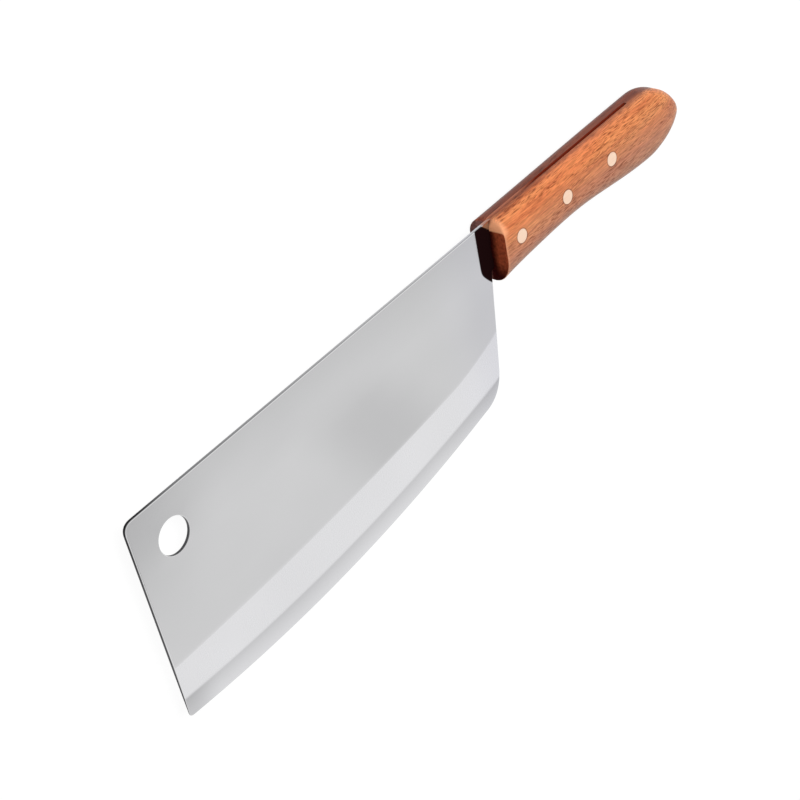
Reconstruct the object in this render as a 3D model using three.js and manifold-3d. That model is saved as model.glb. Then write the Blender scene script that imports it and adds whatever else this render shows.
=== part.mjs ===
// Kitchen cleaver lying on its side: a sheet steel blade whose tang sits in the saw slot of a
// one-piece wooden handle, held by three flush two-part rivets.
// Millimetres. +X runs from the tip to the butt, +Y from the cutting edge to the spine, +Z up.
// The outlines below are drawn from the tip corner of the spine, with the middle plane of the
// steel at Z = 0; the whole is moved at the end so that the middle of its footprint is the origin.
import * as THREE from "three";
import { mergeVertices } from "three/addons/utils/BufferGeometryUtils.js";
import Module from "manifold-3d";

const wasm = await Module();
wasm.setup();

// Blade
const bladeLength = 203; // tip to the front of the handle, along the spine
const bladeThickness = 1.5;
const grindDepth = 0.225; // the ground band takes this much off each side
const edgeThickness = 0.2; // left at the cutting edge
const tipHeight = 87.9; // spine to edge at the tip
const heelHeight = 73.8; // spine to edge where the heel starts to round
const bellySag = 12.6; // how far the edge's control point hangs below the line from tip to heel
const tipBevelWidth = 8.9; // edge to the start of the edge bevel, at the tip
const heelBevelWidth = 9.4; // the same at the heel
const bevelSag = 11.7;
const tipGrindWidth = 23.3; // edge to the start of the ground band, at the tip
const heelGrindWidth = 25; // the same at the heel
const grindSag = 6.75;
const spineCornerRadius = 5;
const edgeCornerRadius = 2;
const heelTopSetback = 4.2; // the heel's upper end stands this far ahead of the handle
const heelTopFillet = 2.5; // from there a small fillet runs up to the tang
const heelSlant = 8.6; // from its upper end the heel leans this far forward to its round
const heelRoundHeight = 12.8; // the round's height
const heelRoundLength = 9.6; // the round's length along the edge
const heelCornerLead = 2.6; // the corner that the round takes off lies this far ahead of its top
const heelCornerRise = 1.4; // and this far above its foot
const heelCurveReach = 19; // how far the heel keeps the slope of its round
const hangHoleDiameter = 14.3;
const hangHoleFromTip = 19;
const hangHoleFromSpine = 17.5;

// Handle
const handleLength = 116.6;
const handleThickness = 17.2;
const handleTop = 0.3; // stands this much above the spine
const frontDepth = 25.4; // spine to underside at the front
const frontFlarePower = 1.9;
const waistDepth = 23;
const waistFromFront = 40.1;
const bellyDepth = 27;
const bellyFromButt = 23.9;
const buttDepth = 16.9; // spine to the rearmost point
const buttLean = 0.11; // the butt leans back at the bottom, sideways per height
const buttLeanLength = 45;
const topRoundLength = 17.7; // the top starts to round over this far from the butt's end
const topRoundPower = 2.17;
const lowerRoundPower = 1.5;
const sideRoundLength = 24.9;
const sideRoundPower = 3.3;
const topCornerRadius = 5.8;
const frontCornerRadius = 6.7; // the upper corners grow to this at the front
const cornerGrowLength = 80;
const lowerCornerHeight = 8.7; // the underside rounds from side to side, this high
const frontTopDrop = 4.5; // the front's upper edge is taken off this far down
const frontTopLength = 3.3; // and this far back
const frontTopPower = 3.5;
const frontEdgeRadius = 0.4;
const frontSlant = 0.105; // the front face leans forward at the bottom, sideways per height
const frontSlantLength = 30;
const slotClearance = 0.05; // each side of the steel
const slotPastTang = 7.5;

// Tang
const tangFromButt = 32.6; // the tang's end to the handle's
const tangFlushLength = 27; // the tang's top stays level with the spine this far into the handle
const tangEndTop = 4.5; // spine to the tang's top at its end
const tangRootCover = 3.5; // the waist's depth less the tang's, at its root
const tangEndCover = 5.5; // the same at its end
const tangCornerRadius = 3;

// Rivets
const rivetNames = ["front", "middle", "rear"];
const rivetPostDiameter = 2.4;
const rivetSleeveWall = 0.75;
const rivetHeadLip = 0.9; // the head reaches this far past the sleeve
const rivetHeadHeight = 1.5;
const rivetFromFront = 8.6; // the handle's front to the first rivet
const rivetFromTangEnd = 17; // the last rivet to the tang's end
const rivetDepth = 10.4;
const rivetFit = 0.05; // radial clearance in wood, steel and sleeve
const sleeveShort = 1.5; // the sleeve stops this far below the post's head
const postShort = 0.5; // and the post this far above the sleeve's head
const roundSegments = 32;

// What follows from these
const bevelThickness = bladeThickness - 2 * grindDepth;
const heelRoundSetback = heelTopSetback + heelSlant;
const heelCornerSetback = heelRoundSetback + heelCornerLead;
const heelSetback = heelCornerSetback + heelRoundLength;
const buttEnd = bladeLength + handleLength;
const bellyStation = buttEnd - bellyFromButt;
const tangLength = handleLength - tangFromButt;
const tangRootDepth = waistDepth - tangRootCover;
const tangEndDepth = waistDepth - tangEndCover;
const slotLength = tangLength + slotPastTang;
const rivetPitch = (tangLength - rivetFromTangEnd - rivetFromFront) / (rivetNames.length - 1);
const rivetSleeveDiameter = rivetPostDiameter + 2 * (rivetFit + rivetSleeveWall);
const rivetHeadDiameter = rivetSleeveDiameter + 2 * rivetHeadLip;
const halfBlade = bladeThickness / 2;
const halfHandle = handleThickness / 2;

const point = (x, y) => new THREE.Vector2(x, y);

// Solids and geometries
function solidOf(geometry) {
  const bare = geometry.clone();
  bare.deleteAttribute("normal");
  bare.deleteAttribute("uv");
  const merged = mergeVertices(bare, 1e-4);
  const mesh = new wasm.Mesh({
    numProp: 3,
    vertProperties: new Float32Array(merged.attributes.position.array),
    triVerts: new Uint32Array(merged.index.array),
  });
  return new wasm.Manifold(mesh);
}

function geometryOf(solid) {
  const mesh = solid.getMesh();
  const geometry = new THREE.BufferGeometry();
  geometry.setAttribute("position", new THREE.BufferAttribute(mesh.vertProperties, 3));
  geometry.setIndex(new THREE.BufferAttribute(mesh.triVerts, 1));
  geometry.computeVertexNormals();
  return geometry;
}

// A skin through rings of equally many points, closed by a fan at each end.
function loft(rings) {
  const count = rings[0].length;
  const positions = rings.flat().flatMap((p) => [p.x, p.y, p.z]);
  const index = [];
  for (let ring = 0; ring + 1 < rings.length; ring++) {
    for (let i = 0; i < count; i++) {
      const a = ring * count + i;
      const b = ring * count + ((i + 1) % count);
      index.push(a, b, b + count, a, b + count, a + count);
    }
  }
  const ends = [rings[0], rings[rings.length - 1]];
  ends.forEach((ring, end) => {
    const middle = ring.reduce((sum, p) => sum.add(p), new THREE.Vector3()).divideScalar(count);
    const hub = positions.length / 3;
    const first = end * (rings.length - 1) * count;
    positions.push(middle.x, middle.y, middle.z);
    for (let i = 0; i < count; i++) {
      const a = first + i;
      const b = first + ((i + 1) % count);
      if (end === 0) index.push(hub, b, a);
      else index.push(hub, a, b);
    }
  });
  const geometry = new THREE.BufferGeometry();
  geometry.setAttribute("position", new THREE.Float32BufferAttribute(positions, 3));
  geometry.setIndex(index);
  return geometry;
}

function roundBar(diameter, length, x, y) {
  const bar = new THREE.CylinderGeometry(diameter / 2, diameter / 2, length, roundSegments);
  return bar.rotateX(Math.PI / 2).translate(x, y, 0);
}

const rivetSpots = rivetNames.map((name, i) =>
  point(bladeLength + rivetFromFront + i * rivetPitch, -rivetDepth),
);

// Lines that run the length of the blade: each is one bow from the tip to the heel.
function bow(tipDepth, heelDepth, heelX, sag) {
  const control = point(heelX / 2, -(tipDepth + heelDepth) / 2 - sag);
  return new THREE.QuadraticBezierCurve(point(0, -tipDepth), control, point(heelX, -heelDepth));
}
const edgeEnd = bladeLength - heelSetback;
const edgeLine = bow(tipHeight, heelHeight, edgeEnd, bellySag);
const bevelEnd = bladeLength - heelCornerSetback;
const bevelLine = bow(tipHeight - tipBevelWidth, heelHeight - heelBevelWidth, bevelEnd, bevelSag);
const grindEnd = bladeLength - heelTopSetback;
const grindLine = bow(tipHeight - tipGrindWidth, heelHeight - heelGrindWidth, grindEnd, grindSag);

// Height of such a line at x, carried on straight past both ends.
function heightOn(line, x) {
  const share = x / line.v2.x;
  const at = line.getPoint(THREE.MathUtils.clamp(share, 0, 1));
  if (share >= 0 && share <= 1) return at.y;
  const slope = line.getTangent(share < 0 ? 0 : 1);
  return at.y + ((x - at.x) * slope.y) / slope.x;
}

// Outline of the steel blank, blade and tang in one.
function blankShape() {
  const tangEnd = bladeLength + tangLength;
  const heelCorner = point(bladeLength - heelCornerSetback, -heelHeight + heelCornerRise);
  const heelRound = point(bladeLength - heelRoundSetback, -heelHeight + heelRoundHeight);
  const heelTop = point(bladeLength - heelTopSetback, -tangRootDepth - heelTopFillet);
  const heelSlope = heelRound.clone().sub(heelCorner).normalize();
  const heelControl = heelRound.clone().addScaledVector(heelSlope, heelCurveReach);
  const shape = new THREE.Shape();
  shape.moveTo(spineCornerRadius, 0);
  shape.quadraticCurveTo(0, 0, 0, -spineCornerRadius);
  shape.lineTo(0, -tipHeight + edgeCornerRadius);
  const edgeStart = edgeLine.getPoint(edgeCornerRadius / edgeEnd);
  shape.quadraticCurveTo(0, -tipHeight, edgeStart.x, edgeStart.y);
  for (let i = 1; i <= 24; i++) {
    const onEdge = edgeLine.getPoint(THREE.MathUtils.lerp(edgeCornerRadius / edgeEnd, 1, i / 24));
    shape.lineTo(onEdge.x, onEdge.y);
  }
  shape.quadraticCurveTo(heelCorner.x, heelCorner.y, heelRound.x, heelRound.y);
  shape.quadraticCurveTo(heelControl.x, heelControl.y, heelTop.x, heelTop.y);
  shape.quadraticCurveTo(heelTop.x, -tangRootDepth, bladeLength, -tangRootDepth);
  shape.lineTo(tangEnd - tangCornerRadius, -tangEndDepth);
  shape.quadraticCurveTo(tangEnd, -tangEndDepth, tangEnd, -tangEndDepth + tangCornerRadius);
  shape.lineTo(tangEnd, -tangEndTop - tangCornerRadius);
  shape.quadraticCurveTo(tangEnd, -tangEndTop, tangEnd - tangCornerRadius, -tangEndTop);
  shape.lineTo(bladeLength + tangFlushLength, 0);
  shape.closePath();
  return shape;
}

// The ground faces: a long wedge whose sides meet the flat steel along the grind line and turn
// in again along the bevel line.
function grindWedge() {
  const rings = [];
  const overrun = 6;
  const spread = 0.5;
  for (let step = 0; step <= 32; step++) {
    const x = THREE.MathUtils.lerp(-overrun, bladeLength + tangLength + overrun, step / 32);
    const grind = heightOn(grindLine, x);
    const bevel = heightOn(bevelLine, x);
    const edge = heightOn(edgeLine, x);
    const inward = (halfBlade - bevelThickness / 2) / (grind - bevel);
    const steep = (bevelThickness - edgeThickness) / 2 / (bevel - edge);
    const top = grind + spread / inward;
    const low = edge - edgeThickness / 4 / steep;
    const side = [
      point(Math.max(top, overrun) + overrun, halfBlade + spread),
      point(top, halfBlade + spread),
      point(bevel, bevelThickness / 2),
      point(low, edgeThickness / 4),
    ];
    const near = side.map((p) => new THREE.Vector3(x, p.x, p.y));
    const far = side.map((p) => new THREE.Vector3(x, p.x, -p.y)).reverse();
    rings.push([...near, ...far]);
  }
  return loft(rings);
}

function bladeGeometry() {
  const options = { depth: bladeThickness, bevelEnabled: false, curveSegments: 8 };
  const slab = new THREE.ExtrudeGeometry(blankShape(), options).translate(0, 0, -halfBlade);
  let blade = solidOf(slab).intersect(solidOf(grindWedge()));
  const hang = new THREE.CylinderGeometry(1, 1, 3 * bladeThickness, 2 * roundSegments);
  hang.scale(hangHoleDiameter / 2, 1, hangHoleDiameter / 2).rotateX(Math.PI / 2);
  hang.translate(hangHoleFromTip, -hangHoleFromSpine, 0);
  blade = blade.subtract(solidOf(hang));
  for (const spot of rivetSpots) {
    const width = rivetSleeveDiameter + 2 * rivetFit;
    blade = blade.subtract(solidOf(roundBar(width, 3 * bladeThickness, spot.x, spot.y)));
  }
  return geometryOf(blade);
}

// Handle: the drop of a rounded end, 0 at its root and 1 at its tip.
const roundOver = (share, power) => 1 - (1 - share ** power) ** (1 / power);
const wave = (share) => (1 - Math.cos(Math.PI * share)) / 2;
const shareOf = (x, from, to) => THREE.MathUtils.clamp((x - from) / (to - from), 0, 1);
const sharePast = (x, length) => shareOf(x, bladeLength, bladeLength + length);
const eased = (x, length) => roundOver(1 - sharePast(x, length), 2);

function topAt(x) {
  const round = roundOver(shareOf(x, buttEnd - topRoundLength, buttEnd), topRoundPower);
  return THREE.MathUtils.lerp(handleTop, -buttDepth, round);
}

function undersideAt(x) {
  const flare = (frontDepth - waistDepth) * (1 - sharePast(x, waistFromFront)) ** frontFlarePower;
  const swell = (bellyDepth - waistDepth) * wave(shareOf(x, bladeLength + waistFromFront, bellyStation));
  const round = roundOver(shareOf(x, bellyStation, buttEnd), lowerRoundPower);
  const level = THREE.MathUtils.lerp(-waistDepth - flare - swell, -buttDepth, round);
  return level + frontEdgeRadius * eased(x, frontEdgeRadius);
}

function halfWidthAt(x) {
  const round = roundOver(shareOf(x, buttEnd - sideRoundLength, buttEnd), sideRoundPower);
  return halfHandle * (1 - round) - frontEdgeRadius * eased(x, frontEdgeRadius);
}

// One section of the handle: a rectangle with rounded corners, as points from the top round.
// At the front its top is cut down to a cap that falls off towards the end.
function handleRing(x) {
  const top = topAt(x);
  const bottom = undersideAt(x);
  const half = halfWidthAt(x);
  const height = top - bottom;
  const cap = top - frontTopDrop * (1 - sharePast(x, frontTopLength)) ** frontTopPower;
  const grown = wave(sharePast(x, cornerGrowLength));
  const radius = THREE.MathUtils.lerp(frontCornerRadius, topCornerRadius, grown);
  const upper = Math.min(radius, 0.95 * half, 0.45 * height);
  const lowerHeight = Math.min(lowerCornerHeight, 0.5 * height);
  const lowerWidth = 0.95 * half;
  const side = [point(top, (half - upper) / 2)];
  for (let i = 0; i <= 7; i++) {
    const turn = (Math.PI / 2) * (i / 7);
    side.push(point(top - upper + upper * Math.cos(turn), half - upper + upper * Math.sin(turn)));
  }
  for (let i = 1; i <= 2; i++) {
    side.push(point(THREE.MathUtils.lerp(top - upper, bottom + lowerHeight, i / 3), half));
  }
  for (let i = 0; i <= 7; i++) {
    const turn = (Math.PI / 2) * (i / 7);
    const level = bottom + lowerHeight * (1 - Math.sin(turn));
    side.push(point(level, half - lowerWidth * (1 - Math.cos(turn))));
  }
  side.push(point(bottom, (half - lowerWidth) / 2));
  const slant = frontSlant * (1 - wave(sharePast(x, frontSlantLength)));
  const lean = buttLean * wave(shareOf(x, buttEnd - buttLeanLength, buttEnd));
  const place = (level, z) => {
    const y = Math.min(level, cap);
    return new THREE.Vector3(x + slant * y - lean * (y + buttDepth), y, z);
  };
  const near = side.map((p) => place(p.x, p.y));
  const far = side.map((p) => place(p.x, -p.y)).reverse();
  const crown = place(top, 0);
  const keel = place(bottom, 0);
  return [crown, ...near, keel, ...far];
}

function handleGeometry() {
  const stations = [];
  for (let i = 0; i < 5; i++) {
    stations.push(bladeLength + frontTopLength * (1 - Math.cos((Math.PI / 2) * (i / 5))));
  }
  for (let i = 0; i < 18; i++) {
    stations.push(THREE.MathUtils.lerp(bladeLength + frontTopLength, bellyStation, i / 18));
  }
  for (let i = 0; i <= 13; i++) {
    stations.push(bellyStation + bellyFromButt * Math.sin((Math.PI / 2) * 0.985 * (i / 13)));
  }
  let handle = solidOf(loft(stations.map(handleRing)));
  const slotDepth = 2 * (handleTop + bellyDepth);
  const slot = new THREE.BoxGeometry(2 * slotLength, 2 * slotDepth, bladeThickness + 2 * slotClearance);
  handle = handle.subtract(solidOf(slot.translate(bladeLength, 0, 0)));
  for (const spot of rivetSpots) {
    const bore = rivetSleeveDiameter + 2 * rivetFit;
    const sink = rivetHeadDiameter + 2 * rivetFit;
    handle = handle.subtract(solidOf(roundBar(bore, 2 * handleThickness, spot.x, spot.y)));
    for (const side of [-1, 1]) {
      const pocket = roundBar(sink, 2 * rivetHeadHeight, spot.x, spot.y);
      handle = handle.subtract(solidOf(pocket.translate(0, 0, side * halfHandle)));
    }
  }
  return geometryOf(handle);
}

// Rivets: the post hangs from the upper face, the sleeve stands on the lower one.
const headFloor = halfHandle - rivetHeadHeight;

function turned(profile, spot) {
  const outline = profile.map(([radius, height]) => point(radius, height));
  const lathe = new THREE.LatheGeometry(outline, roundSegments);
  const solid = solidOf(lathe.rotateX(Math.PI / 2).translate(spot.x, spot.y, 0));
  return geometryOf(solid);
}

function postGeometry(spot) {
  const tip = -headFloor + postShort;
  const profile = [
    [0, tip],
    [rivetPostDiameter / 2, tip],
    [rivetPostDiameter / 2, headFloor],
    [rivetHeadDiameter / 2, headFloor],
    [rivetHeadDiameter / 2, halfHandle],
    [0, halfHandle],
  ];
  return turned(profile, spot);
}

function sleeveGeometry(spot) {
  const inner = rivetPostDiameter / 2 + rivetFit;
  const rim = headFloor - sleeveShort;
  const profile = [
    [0, -halfHandle],
    [rivetHeadDiameter / 2, -halfHandle],
    [rivetHeadDiameter / 2, -headFloor],
    [rivetSleeveDiameter / 2, -headFloor],
    [rivetSleeveDiameter / 2, rim],
    [inner, rim],
    [inner, -headFloor],
    [0, -headFloor],
  ];
  return turned(profile, spot);
}

// Materials and the finished group
const steel = { color: 0xc9c9cb, roughness: 0.22, metalness: 1 };
const wood = { color: 0xd98a58, roughness: 0.5, metalness: 0 };
const aluminium = { color: 0xf2dcc6, roughness: 0.35, metalness: 1 };

const cleaver = new THREE.Group();

function addPiece(name, geometry, look) {
  const mesh = new THREE.Mesh(geometry, new THREE.MeshStandardMaterial(look));
  mesh.name = name;
  cleaver.add(mesh);
}

addPiece("blade", bladeGeometry(), steel);
addPiece("handle", handleGeometry(), wood);
rivetNames.forEach((name, i) => {
  addPiece(name + "_rivet_post", postGeometry(rivetSpots[i]), aluminium);
  addPiece(name + "_rivet_sleeve", sleeveGeometry(rivetSpots[i]), aluminium);
});

const bounds = new THREE.Box3().setFromObject(cleaver);
const middle = bounds.getCenter(new THREE.Vector3());
for (const mesh of cleaver.children) {
  mesh.geometry.translate(-middle.x, -middle.y, halfHandle);
}

export default cleaver;
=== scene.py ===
import bmesh
import bpy
import numpy as np
from mathutils import Matrix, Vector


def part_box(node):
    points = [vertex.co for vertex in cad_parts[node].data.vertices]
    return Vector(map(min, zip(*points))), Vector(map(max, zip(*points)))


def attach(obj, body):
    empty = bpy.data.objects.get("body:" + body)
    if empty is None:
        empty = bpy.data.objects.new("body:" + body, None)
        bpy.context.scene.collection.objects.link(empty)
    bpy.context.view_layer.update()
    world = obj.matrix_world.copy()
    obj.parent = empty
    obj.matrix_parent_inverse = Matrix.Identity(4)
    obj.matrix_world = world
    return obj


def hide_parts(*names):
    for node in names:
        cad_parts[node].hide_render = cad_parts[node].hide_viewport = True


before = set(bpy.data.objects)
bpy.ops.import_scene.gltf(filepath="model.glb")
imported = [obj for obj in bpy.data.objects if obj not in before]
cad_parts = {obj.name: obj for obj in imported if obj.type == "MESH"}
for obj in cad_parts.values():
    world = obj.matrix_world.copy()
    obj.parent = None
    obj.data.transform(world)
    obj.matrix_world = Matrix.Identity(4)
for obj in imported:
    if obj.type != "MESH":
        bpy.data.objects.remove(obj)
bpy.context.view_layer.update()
mm = 0.001
weldWithin = 2e-6  # metres
tiny = 1e-6  # keeps powers and divisions off zero

# outlines are drawn in mm from the tip corner of the spine, z from the middle of the steel
steelLow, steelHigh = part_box("blade")
drawnOrigin = np.array([steelLow.x, steelHigh.y, (steelLow.z + steelHigh.z) / 2])
print("frame loaded, steel starts at", np.round(drawnOrigin, 5))


def gridIndex(shape, start=0):
    # running numbers laid out in rows and columns
    return start + np.arange(shape[0] * shape[1]).reshape(shape[:2])


def gridFaces(index, flip=False, closed=False):
    # quads between neighbouring rows and columns of an index grid
    if closed:
        index = np.hstack([index, index[:, :1]])
    quads = np.stack([index[:-1, :-1], index[1:, :-1], index[1:, 1:], index[:-1, 1:]], -1)
    quads = quads.reshape(-1, 4)
    return quads[:, ::-1] if flip else quads


def makePiece(name, points, quads, sharpAngle, marks=None, weld=False, lid=None):
    # points in drawn mm; marks are values carried by the points; a lid is one face of many corners
    used = np.unique(quads)  # points that no face uses are left out
    faces = np.searchsorted(used, quads).tolist()
    if lid is not None:
        faces.append(np.searchsorted(used, lid).tolist())
    mesh = bpy.data.meshes.new(name)
    mesh.from_pydata((points[used] * mm + drawnOrigin).tolist(), [], faces)
    for key, values in (marks or {}).items():
        layer = mesh.attributes.new(key, "FLOAT", "POINT")
        layer.data.foreach_set("value", values[used].astype(np.float32))
    shell = bmesh.new()
    shell.from_mesh(mesh)
    if weld:
        bmesh.ops.remove_doubles(shell, verts=shell.verts, dist=weldWithin)
    if shell.calc_volume(signed=True) < 0:
        bmesh.ops.reverse_faces(shell, faces=shell.faces)
    shell.to_mesh(mesh)
    shell.free()
    mesh.shade_smooth()
    mesh.set_sharp_from_angle(angle=sharpAngle)
    piece = bpy.data.objects.new(name, mesh)
    bpy.context.scene.collection.objects.link(piece)
    return piece


blade = {
    "length": 203.0,
    "halfThick": 0.75,
    "grindDepth": 0.225,
    "bevelDepth": 0.425,
    "edgeBow": (87.9, 73.8, 178.0, 12.6),  # depth at tip, depth at heel, heel station, sag
    "bevelBow": (79.0, 64.4, 187.6, 11.7),
    "grindBow": (64.6, 48.8, 198.8, 6.75),
    "grindLift": (165.0, 0.0288, 1.5),  # station, rate and power of its rise towards the heel
    "spineCorner": 5.0,
    "edgeCorner": 2.0,
    "heelFoot": (178.0, -73.8),
    "heelCorner": (187.6, -72.4),
    "heelRound": (190.2, -61.0),
    "heelReach": 19.0,
    "heelTop": (198.8, -22.0),
    "heelSteps": 160,
    "heelSearch": (195.0, 60),  # station to start from, steps towards the end of a line
    "tangRoot": (203.0, -19.5),
    "tangSink": (204.0, 207.5, -1.3),  # stations between which it drops, and how far
    "tangEnd": 287.0,
    "tangEndTop": -4.5,
    "tangEndLow": -17.5,
    "tangCorner": 3.0,
    "holeCentre": (19.25, -17.9),
    "holeRadius": 7.4,
    "holeBlock": (1.65, 1.6),  # half height and half length of the cells that it replaces, in radii
    "holeRings": 9,
    "holeSpread": 1.3,
    "rows": (30, 26, 14, 12),  # beside the tang, the rest of the flat, ground band, bevel
    "columns": (14, 198),  # in the corner of the tip, and from there to the handle
    "tangColumns": (59, 8),  # up to its end corner, and round the corner
    "warpFrom": 60.0,  # station where the columns start to lean towards the heel
    "rimRound": 0.7,
    "boreRound": 0.25,
    "roundMost": 0.8,  # of the half thickness
    "roundSteps": 4,  # the three lists of marks have twice as many
    "rimReach": 3.0,
    "rimLots": 16,
    "rimMarks": (0, 0.85, 1, 1, 1, 1, 1, 0.8),  # how far each row of the wall is bare edge
    "boreMarks": (0, 0, 0.3, 1, 1, 1, 1, 1),
    # rows of the wall that carry the painted highlight
    "shoulderMarks": (1, 0.1, 0, 0, 0, 0, 0, 0),
    "frontSlant": 0.105,  # of the handle's front end
    # the dull dark area beside the handle is a painted reflection of its front end
    "stripWide": 7.9,
    "stripFoot": -26.75,
    "stripCurve": 1.3,
    "stripEase": 0.6,
    "stripSlope": 0.7,
    "stripTop": (-3.85, 0.94),  # height at the handle, rise per mm ahead of it
    "sharpAngle": 0.7,
}


def bowHeight(bow, x):
    # parabola through the tip and heel depths, hanging lower by the sag at its control point
    tip, heel, end, sag = bow
    t = x / end
    return -(tip * (1 - t) ** 2 + 2 * t * (1 - t) * ((tip + heel) / 2 + sag) + heel * t**2)


def grindHeight(x):
    # the bow of the grind line, and a power of the length past a station, so that it curls up
    start, rate, power = blade["grindLift"]
    return bowHeight(blade["grindBow"], x) + rate * np.clip(x - start, 0, None) ** power


def cornerDrop(distance, reach):
    # fall of a rounded corner, from its reach at the end to nothing at its reach
    return reach * (1 - np.sqrt(np.clip(distance / reach, 0, 1))) ** 2


def threePoint(first, control, last):
    # quadratic curve from first to last, pulled towards the control point
    t = np.linspace(0, 1, blade["heelSteps"])[:, None]
    first, control, last = map(np.array, (first, control, last))
    return (1 - t) ** 2 * first + 2 * t * (1 - t) * control + t**2 * last


def heelLines():
    # the round at the foot of the heel, and the whole heel up to the root of the tang
    foot = threePoint(blade["heelFoot"], blade["heelCorner"], blade["heelRound"])
    slope = np.subtract(blade["heelRound"], blade["heelCorner"])
    control = blade["heelRound"] + slope / np.linalg.norm(slope) * blade["heelReach"]
    rise = threePoint(blade["heelRound"], control, blade["heelTop"])
    turn = (blade["heelTop"][0], blade["tangRoot"][1])
    fillet = threePoint(blade["heelTop"], turn, blade["tangRoot"])
    return foot, np.vstack([foot, rise[1:], fillet[1:]])


heelFoot, heelCurve = heelLines()


def heelStation(y):
    # station of the heel at a height, read off its curve
    return np.interp(y, heelCurve[:, 1], heelCurve[:, 0])


def edgeHeight(x):
    # the bow of the edge, rounded at the tip, then the round of the heel
    bow = bowHeight(blade["edgeBow"], x) + cornerDrop(x, blade["edgeCorner"])
    return np.where(x > blade["heelFoot"][0], np.interp(x, heelFoot[:, 0], heelFoot[:, 1]), bow)


def bandHeight(band, x):
    # band 0 is the spine, 1 the grind line, 2 the bevel line, 3 the edge, evenly in between
    lines = [
        -cornerDrop(x, blade["spineCorner"]),
        grindHeight(x),
        bowHeight(blade["bevelBow"], x),
        edgeHeight(x),
    ]
    share = [np.clip(band - i, 0, 1) for i in range(3)]
    return lines[0] + sum(share[i] * (lines[i + 1] - lines[i]) for i in range(3))


def halfThickness(x, y):
    # flat steel, thinned evenly from grind line to bevel line and again to the edge
    grind = grindHeight(x)
    bevel = bowHeight(blade["bevelBow"], x)
    edge = bowHeight(blade["edgeBow"], x)
    thin = blade["grindDepth"] * np.clip((grind - y) / (grind - bevel), 0, 1)
    thin += blade["bevelDepth"] * np.clip((bevel - y) / (bevel - edge), 0, 1)
    return blade["halfThick"] - thin


def lineEnd(band):
    # height at which a band meets the heel: halfway to the heel at each step until they agree
    x, steps = blade["heelSearch"]
    for step in range(steps):
        x = (x + heelStation(bandHeight(band, x))) / 2
    return bandHeight(band, x)


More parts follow.
